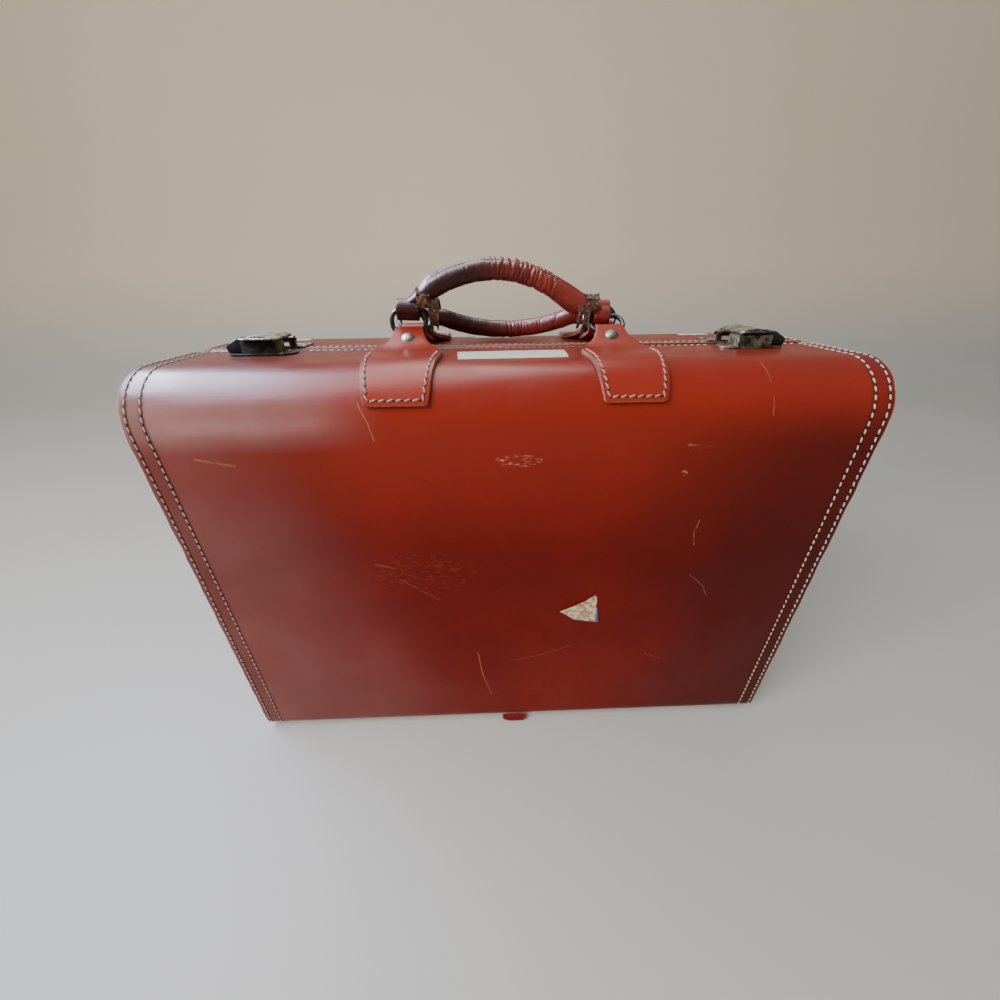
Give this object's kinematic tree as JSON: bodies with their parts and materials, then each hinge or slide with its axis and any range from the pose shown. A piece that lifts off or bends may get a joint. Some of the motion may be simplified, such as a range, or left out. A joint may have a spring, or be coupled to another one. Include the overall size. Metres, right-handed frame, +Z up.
{
  "type": "suitcase",
  "caption": "Leather suitcase with two equal hinged halves, steel-framed seam, ringed carrying handles and slide locks with hasps.",
  "frame": {"origin": "middle of the footprint, on the floor under the studs", "axes": "+X along the width, +Y from the front half to the rear half, +Z up"},
  "size_m": [0.508, 0.196, 0.4216],
  "materials": {
    "red_leather": "polished, worn",
    "dark_leather": "polished, worn",
    "pressed_board": "raw",
    "lining_cloth": "woven",
    "frame_steel": "bare",
    "ring_steel": "tarnished",
    "rope": "twisted",
    "old_brass": "tarnished",
    "lock_brass": "tarnished bronze",
    "black_slide": "worn black",
    "hinge_steel": "bare"
  },
  "bodies": {
    "front_half": {"front_panel": "red_leather", "front_end_left": "red_leather", "front_end_right": "red_leather", "front_boards": "pressed_board", "front_lining": "lining_cloth", "front_rim": "dark_leather", "front_frame": "frame_steel", "front_tab_left": "red_leather", "front_tab_right": "red_leather", "front_tab_rivets": "old_brass", "left_lock": "lock_brass", "right_lock": "lock_brass", "left_lock_spring": "frame_steel", "right_lock_spring": "frame_steel", "lock_rivets": "lock_brass", "front_hinge_leaves": "hinge_steel", "hinge_pins": "hinge_steel", "front_hinge_rivets": "hinge_steel", "front_studs": "old_brass"},
    "rear_half": {"rear_panel": "red_leather", "rear_end_left": "red_leather", "rear_end_right": "red_leather", "rear_boards": "pressed_board", "rear_lining": "lining_cloth", "rear_rim": "dark_leather", "rear_frame": "frame_steel", "rear_tab_left": "red_leather", "rear_tab_right": "red_leather", "rear_tab_rivets": "old_brass", "left_hasp_plate": "lock_brass", "right_hasp_plate": "lock_brass", "hasp_pins": "lock_brass", "hasp_rivets": "lock_brass", "rear_hinge_leaves": "hinge_steel", "rear_hinge_rivets": "hinge_steel", "rear_studs": "old_brass"},
    "left_slide": {"left_thumb_slide": "black_slide"},
    "right_slide": {"right_thumb_slide": "black_slide"},
    "left_hasp_flap": {"left_hasp": "lock_brass"},
    "right_hasp_flap": {"right_hasp": "lock_brass"},
    "front_rings": {"front_ring_left": "ring_steel", "front_ring_right": "ring_steel"},
    "front_handle": {"front_grip": "dark_leather", "front_grip_core": "rope", "front_handle_end_left": "dark_leather", "front_handle_end_right": "dark_leather"},
    "rear_rings": {"rear_ring_left": "ring_steel", "rear_ring_right": "ring_steel"},
    "rear_handle": {"rear_grip": "dark_leather", "rear_grip_core": "rope", "rear_handle_end_left": "dark_leather", "rear_handle_end_right": "dark_leather"}
  },
  "joints": [
    {"name": "lid_hinge", "type": "hinge", "parent": "front_half", "child": "rear_half", "pos_m": [0, 0, 0.0024], "axis": [-1, 0, 0], "range_deg": [0, 170]},
    {"name": "left_thumb_slide", "type": "slide", "parent": "front_half", "child": "left_slide", "axis": [-1, 0, 0], "range_m": [0, 0.005]},
    {"name": "right_thumb_slide", "type": "slide", "parent": "front_half", "child": "right_slide", "axis": [1, 0, 0], "range_m": [0, 0.005]},
    {"name": "left_hasp_flip", "type": "hinge", "parent": "rear_half", "child": "left_hasp_flap", "pos_m": [-0.19, 0.009, 0.365], "axis": [-1, 0, 0], "range_deg": [0, 130]},
    {"name": "right_hasp_flip", "type": "hinge", "parent": "rear_half", "child": "right_hasp_flap", "pos_m": [0.19, 0.009, 0.365], "axis": [-1, 0, 0], "range_deg": [0, 130]},
    {"name": "front_ring_swing", "type": "hinge", "parent": "front_half", "child": "front_rings", "pos_m": [0, -0.014, 0.37], "axis": [1, 0, 0], "range_deg": [0, 20]},
    {"name": "front_handle_swing", "type": "hinge", "parent": "front_rings", "child": "front_handle", "pos_m": [0, -0.00704, 0.38338], "axis": [0.995, 0.0888, -0.0462], "range_deg": [0, 84]},
    {"name": "rear_ring_swing", "type": "hinge", "parent": "rear_half", "child": "rear_rings", "pos_m": [0, 0.014, 0.37], "axis": [1, 0, 0], "range_deg": [0, 24]},
    {"name": "rear_handle_swing", "type": "hinge", "parent": "rear_rings", "child": "rear_handle", "pos_m": [0, 0.0225, 0.38472], "axis": [1, 0, 0], "range_deg": [0, 99]}
  ]
}
